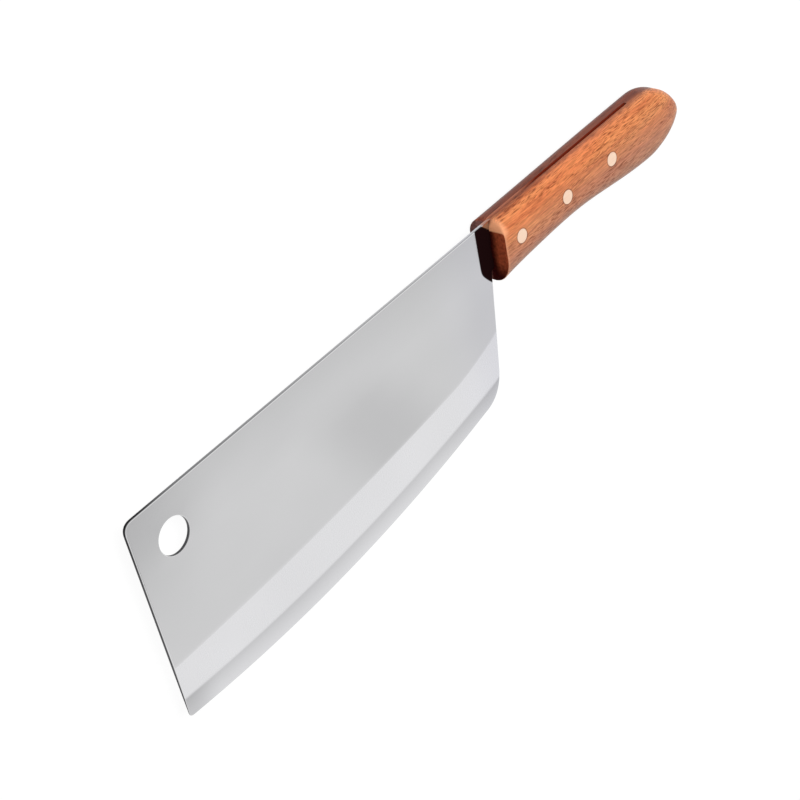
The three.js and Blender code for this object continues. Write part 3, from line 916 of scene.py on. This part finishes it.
wood = {
    "drift": 22.0,  # scale of the noise that makes the grain wander
    "driftBy": (0.0, 0.004, 0.004),
    "broad": ((12, 150, 150), 2.0, 0.34, 0.66),  # stretch, detail, low and high of the streaks
    "medium": ((40, 620, 620), 2.0, 0.46, 0.7),
    "fibre": ((170, 1900, 1900), 3.0, 0.3, 0.7),
    "pores": ((290, 2800, 2800), 1.0, 0.5, 0.68),
    "clumps": ((30, 260, 260), 1.0, 0.3, 0.54),
    "golden": tone(243, 159, 100),
    "orange": tone(227, 132, 82),
    "red": tone(190, 98, 64),
    "redMost": 0.55,
    "fibreShade": (0.74, 1.2),
    "pore": tone(124, 58, 30),
    "poreMost": 0.8,
    # painted shade that greys the lower side
    "low": tone(190, 141, 118),
    "lowDown": (0.024, 0.041),
    "lowMost": (0.75, 0.0),
    "jointReach": (0.0029, 0.0036),
    "jointShade": (0.6, 1.0),
    "nearSide": (-0.001, 0.001),
    # the pale front edge is partly wear and partly painted light; the brow is painted light
    "wearAndPaintedLight": tone(240, 166, 130),
    "wearAndPaintedLightMost": (0.1, 0.6),  # on the far side, on the near side
    "brow": tone(255, 178, 132),
    "browAlong": (0.0436, 0.0466),
    "browDown": (0.0375, 0.0405),
    "browMost": (0.75, 0.0),
    # painted shade on the far side of the top
    "farTopShade": tone(137, 115, 131),
    "farTopShadeLean": 0.8,
    "farTopShadeDown": (0.0405, 0.0432),
    "farTopShadeAcross": (-0.0008, 0.0046),
    # painted shade along the top towards the front
    "deep": tone(221, 198, 188),
    "deepFrom": (0.044, 0.051),
    "deepTo": (0.066, 0.09),
    "deepAcross": (0.0032, 0.0052),
    "deepMost": (0.6, 1.0),  # on the far side, on the near side
    # end grain, with painted shade close to the steel, at its foot and on the far side
    "end": tone(162, 74, 45),
    "endDark": tone(54, 10, 9),
    "endClear": (0.001, 0.0046),
    "endRise": (0.02, 0.0285),
    "endFar": tone(118, 80, 74),
    "endFarAt": (-0.002, 0.0),
    "speckle": ((900, 900, 900), 2.0, 0.3, 0.7),
    "speckleShade": (0.62, 1.25),
    # painted shade inside the slot
    "slot": tone(130, 46, 26),
    "slotTight": tone(192, 127, 102),
    "slotOpens": (0.062, 0.077),
    "rough": (0.37, 0.49),
    "roughEnd": 0.95,
    "fibreHeight": 0.25,
    "bumpStrength": 0.25,
    "bumpDistance": 0.00015,
    "varnish": 0.2,
    "varnishRough": 0.18,
    "gloss": 0.06,
}


def woodMaterial():
    material, tree, shader, where = newMaterial("varnished_wood")
    at = place(tree, "SeparateXYZ", {0: where}).outputs
    over = sums(tree, "SUBTRACT", at["Z"], float(drawnOrigin[2]))  # from the middle of the steel
    nearSide = fade(tree, over, wood["nearSide"])

    # streaks of colour, fibres and pores along a grain that wanders a little
    drift = place(tree, "TexNoise", {"Vector": where, "Scale": wood["drift"], "Detail": 1.0})
    shift = vectors(tree, "SUBTRACT", drift.outputs["Color"], (0.5, 0.5, 0.5))
    grain = vectors(tree, "ADD", where, vectors(tree, "MULTIPLY", shift, wood["driftBy"]))
    fibre = streak(tree, grain, *wood["fibre"])
    pores = product(tree, streak(tree, grain, *wood["pores"]), streak(tree, grain, *wood["clumps"]))
    colour = blendColour(tree, streak(tree, grain, *wood["broad"]), wood["golden"], wood["orange"])
    medium = product(tree, streak(tree, grain, *wood["medium"]), wood["redMost"])
    colour = blendColour(tree, medium, colour, wood["red"])
    # painted shade greys the lower side
    lowSide = fade(tree, at["Y"], wood["lowDown"], wood["lowMost"])
    colour = blendColour(tree, lowSide, colour, wood["low"])
    colour = shadeColour(tree, colour, ramp(tree, fibre, unit, wood["fibreShade"]))
    colour = blendColour(tree, product(tree, pores, wood["poreMost"]), colour, wood["pore"])

    # a thin dark joint round each rivet head
    nearest = 1.0
    flat = vectors(tree, "MULTIPLY", where, (1, 1, 0))
    for spot in rivetSpots:
        middle = np.array(spot) * mm + drawnOrigin[:2]
        away = vectors(tree, "DISTANCE", flat, (*middle, 0), "Value")
        nearest = sums(tree, "MINIMUM", nearest, away)
    colour = shadeColour(tree, colour, fade(tree, nearest, wood["jointReach"], wood["jointShade"]))

    # the edge of the front is paler, partly wear and partly painted light, and the rounded brow over it
    # carries painted light
    wearAndPaintedLight = product(tree, attribute(tree, "wearAndPaintedLight"), ramp(tree, nearSide, unit, wood["wearAndPaintedLightMost"]))
    colour = blendColour(tree, wearAndPaintedLight, colour, wood["wearAndPaintedLight"])
    browAlong = fade(tree, at["X"], wood["browAlong"], wood["browMost"])
    brow = product(tree, browAlong, fade(tree, at["Y"], wood["browDown"]), nearSide)
    colour = blendColour(tree, brow, colour, wood["brow"])

    # painted shade darkens and greys the top beside the slot, on the side away from the upper face
    leaning = sums(tree, "SUBTRACT", at["Y"], product(tree, over, wood["farTopShadeLean"]))
    farTopShade = fade(tree, leaning, wood["farTopShadeDown"])
    farTopShade = product(tree, farTopShade, fade(tree, over, wood["farTopShadeAcross"], fall))
    colour = blendColour(tree, farTopShade, colour, wood["farTopShade"], "MULTIPLY")
    # painted shade, deeper along the top towards the front
    deepFrom = fade(tree, at["X"], wood["deepFrom"])
    deepTo = fade(tree, at["X"], wood["deepTo"], fall)
    deepAcross = fade(tree, over, wood["deepAcross"], fall)
    deepMost = ramp(tree, nearSide, unit, wood["deepMost"])
    deep = product(tree, deepFrom, deepTo, deepAcross, deepMost)
    colour = blendColour(tree, deep, colour, wood["deep"], "MULTIPLY")

    # the sawn front end grain, with painted shade: darkest close to the steel and towards its foot,
    # greyer on the far side
    farEnd = fade(tree, over, wood["endFarAt"])
    farEnd = blendColour(tree, farEnd, wood["endFar"], wood["endDark"])
    clear = product(tree, fade(tree, over, wood["endClear"]), fade(tree, at["Y"], wood["endRise"]))
    endColour = blendColour(tree, clear, farEnd, wood["end"])
    speckle = streak(tree, where, *wood["speckle"])
    endColour = shadeColour(tree, endColour, ramp(tree, speckle, unit, wood["speckleShade"]))
    end = attribute(tree, "endGrain")
    colour = blendColour(tree, end, colour, endColour)

    # painted shade inside the slot, lighter where it is tight over the tang and darker where it opens
    # behind it
    opening = fade(tree, at["X"], wood["slotOpens"])
    slotColour = blendColour(tree, opening, wood["slotTight"], wood["slot"])
    inSlot = product(tree, attribute(tree, "inSlot"), without(tree, end))
    colour = blendColour(tree, inSlot, colour, slotColour)

    rough = blendValue(tree, end, ramp(tree, fibre, unit, wood["rough"]), wood["roughEnd"])
    height = sums(tree, "SUBTRACT", product(tree, fibre, wood["fibreHeight"]), pores)
    bump = {"Strength": wood["bumpStrength"], "Distance": wood["bumpDistance"], "Height": height}
    fill(tree, shader, {
        "Base Color": colour,
        "Roughness": rough,
        "Normal": place(tree, "Bump", bump).outputs[0],
        "Coat Weight": ramp(tree, end, unit, (wood["varnish"], 0.0)),
        "Coat Roughness": wood["varnishRough"],
        "Specular IOR Level": wood["gloss"],
    })
    return material


alloy = {
    "lines": ((120, 2600, 2600), 2.0, 0.3, 0.7),
    "bright": tone(255, 226, 201),
    "dull": tone(252, 216, 190),
    "rough": (0.28, 0.38),
}


def alloyMaterial():
    material, tree, shader, where = newMaterial("ground_alloy")
    lines = streak(tree, where, *alloy["lines"])
    fill(tree, shader, {
        "Base Color": blendColour(tree, lines, alloy["bright"], alloy["dull"]),
        "Roughness": ramp(tree, lines, unit, alloy["rough"]),
        "Metallic": 1.0,
    })
    return material


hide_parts("blade")
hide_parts("handle")
for pieces, made, slot in (
    ([bladePiece], steelMaterial(), "blade_steel"),
    ([handlePiece], woodMaterial(), "handle_wood"),
    (rivetPieces, alloyMaterial(), "rivet_aluminium"),
):
    for piece in pieces:
        piece.data.materials.append(made)
        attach(piece, "root")
print("materials made")


studio = {
    "floorHalf": 8.0,
    "floorDrop": -0.0002,
    "floorTone": tone(245, 245, 245),
    "floorGlow": 0.86,
    "floorWhite": 1.07,
    "ambient": 0.14,
    "lobe": 0.4,
    "lobeTowards": (0.56, -0.62, 0.55),
    "lobeSpread": (0.45, 0.95),
    "gloss": (0.62, 1.0),
    "keyAt": (-0.2, 1.1, 1.35),
    "keyPower": 30.5,
    "keySize": 1.6,
    "white": (1, 1, 1, 1),
}


def makeFloor():
    # white to the eye and to reflections, but matt enough to keep the shadow
    size, drop = studio["floorHalf"], studio["floorDrop"]
    corners = [(-size, -size, drop), (size, -size, drop), (size, size, drop), (-size, size, drop)]
    mesh = bpy.data.meshes.new("floor")
    mesh.from_pydata(corners, [], [(0, 1, 2, 3)])
    floor = bpy.data.objects.new("floor", mesh)
    bpy.context.scene.collection.objects.link(floor)
    material = bpy.data.materials.new("floor_white")
    material.use_nodes = True
    tree = material.node_tree
    tree.nodes.clear()
    ray = place(tree, "LightPath").outputs
    seen = sums(tree, "MAXIMUM", ray["Is Camera Ray"], ray["Is Glossy Ray"])
    seen = sums(tree, "MAXIMUM", seen, ray["Is Transmission Ray"])
    seen = product(tree, seen, studio["floorGlow"])
    matt = place(tree, "BsdfDiffuse", {"Color": studio["floorTone"]})
    glow = place(tree, "Emission", {"Color": studio["white"], "Strength": studio["floorWhite"]})
    mixed = place(tree, "MixShader", {0: seen, 1: matt.outputs[0], 2: glow.outputs[0]})
    place(tree, "OutputMaterial", {"Surface": mixed.outputs[0]})
    mesh.materials.append(material)


def makeWorld():
    # soft light with a brighter lobe on one side, stronger in reflections, plain white to the eye
    world = bpy.data.worlds.new("studio")
    bpy.context.scene.world = world
    world.use_nodes = True
    tree = world.node_tree
    tree.nodes.clear()
    towards = np.array(studio["lobeTowards"]) / np.linalg.norm(studio["lobeTowards"])
    direction = place(tree, "TexCoord").outputs["Generated"]
    facing = vectors(tree, "DOT_PRODUCT", direction, tuple(towards), "Value")
    lobe = fade(tree, facing, studio["lobeSpread"])
    soft = ramp(tree, lobe, unit, (studio["ambient"], studio["ambient"] + studio["lobe"]))
    gloss = ramp(tree, lobe, unit, studio["gloss"])
    ray = place(tree, "LightPath").outputs
    mirrored = sums(tree, "MAXIMUM", ray["Is Glossy Ray"], ray["Is Transmission Ray"])
    strength = blendValue(tree, mirrored, soft, gloss)
    strength = blendValue(tree, ray["Is Camera Ray"], strength, 1.0)
    background = place(tree, "Background", {"Color": studio["white"], "Strength": strength})
    place(tree, "OutputWorld", {"Surface": background.outputs[0]})


def makeKey():
    # a round lamp that faces the origin
    lamp = bpy.data.lights.new("key", "AREA")
    lamp.shape = "DISK"
    lamp.size = studio["keySize"]
    lamp.energy = studio["keyPower"]
    key = bpy.data.objects.new("key", lamp)
    key.visible_glossy = False
    back = np.array(studio["keyAt"]) / np.linalg.norm(studio["keyAt"])
    side = np.cross((0, 1, 0), back)
    side /= np.linalg.norm(side)
    up = np.cross(back, side)
    turned = Matrix(np.column_stack([side, up, back]).tolist()).to_4x4()
    turned.translation = studio["keyAt"]
    key.matrix_world = turned
    bpy.context.scene.collection.objects.link(key)


makeFloor()
makeWorld()
makeKey()
print("studio made")


camera = {
    "at": (-426.488, 529.914, 658.715),  # drawn mm
    "right": (0.632516, -0.229879, 0.739648),
    "down": (-0.552286, -0.803385, 0.222604),
    "forward": (0.543050, -0.549298, -0.635113),
    "lens": 123.75,
    "sensor": 36.0,
    "clip": (0.05, 100.0),
}


def makeCamera():
    lens = bpy.data.cameras.new("camera")
    lens.sensor_width = camera["sensor"]
    lens.lens = camera["lens"]
    lens.clip_start, lens.clip_end = camera["clip"]
    axes = np.column_stack([camera["right"], -np.array(camera["down"]), -np.array(camera["forward"])])
    turned = Matrix(axes.tolist()).to_4x4()
    turned.translation = (np.array(camera["at"]) * mm + drawnOrigin).tolist()
    seen = bpy.data.objects.new("camera", lens)
    seen.matrix_world = turned
    bpy.context.scene.collection.objects.link(seen)
    bpy.context.scene.camera = seen


makeCamera()
bpy.context.scene.view_settings.view_transform = "Standard"
print("camera made")
